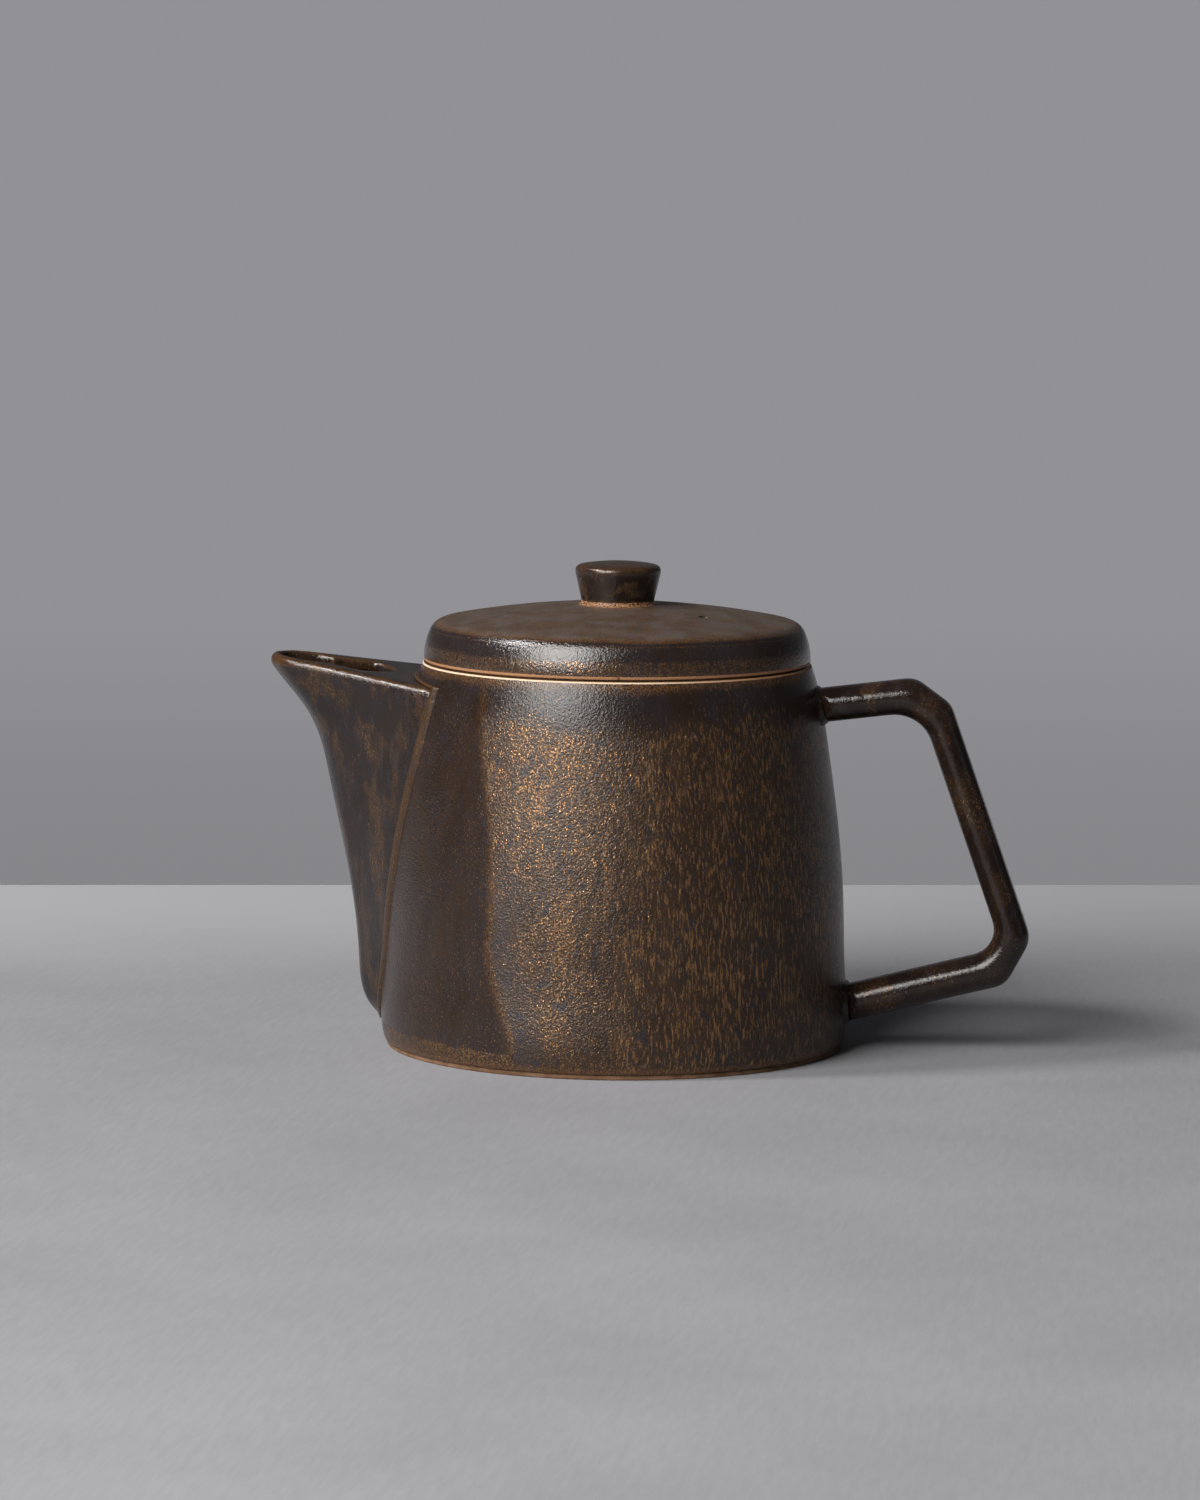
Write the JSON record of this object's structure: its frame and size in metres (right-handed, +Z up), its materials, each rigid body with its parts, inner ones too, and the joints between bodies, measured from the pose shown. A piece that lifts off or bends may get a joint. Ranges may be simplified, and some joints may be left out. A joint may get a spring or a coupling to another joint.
{
  "type": "teapot",
  "caption": "Stoneware teapot: tapering round body, broad pouring beak, angular loop handle opposite it, inner strainer and a thick lift-off lid with a flared knob.",
  "frame": {"origin": "on the pot's turning axis, in the plane that the foot ring stands on", "axes": "+Z up the pot's axis, -X towards the spout's tip, +X towards the handle"},
  "size_m": [0.2222, 0.136, 0.1408],
  "materials": {
    "bronze_glaze": "semi-gloss bronze-brown glaze with a fine golden speckle",
    "bare_clay": "matt bare tan stoneware"
  },
  "bodies": {
    "pot": {"pot_body": "bronze_glaze", "foot_ring": "bare_clay", "strainer": "bronze_glaze", "spout": "bronze_glaze", "spout_seam": "bronze_glaze", "handle": "bronze_glaze", "handle_upper_seam": "bronze_glaze", "handle_lower_seam": "bronze_glaze"},
    "lid": {"lid": "bronze_glaze", "lid_flange": "bare_clay", "knob": "bronze_glaze", "knob_seam": "bronze_glaze"}
  },
  "joints": [
    {"name": "lid_lift", "type": "slide", "parent": "pot", "child": "lid", "axis": [0, 0, 1], "range_m": [0, 0.1]}
  ]
}
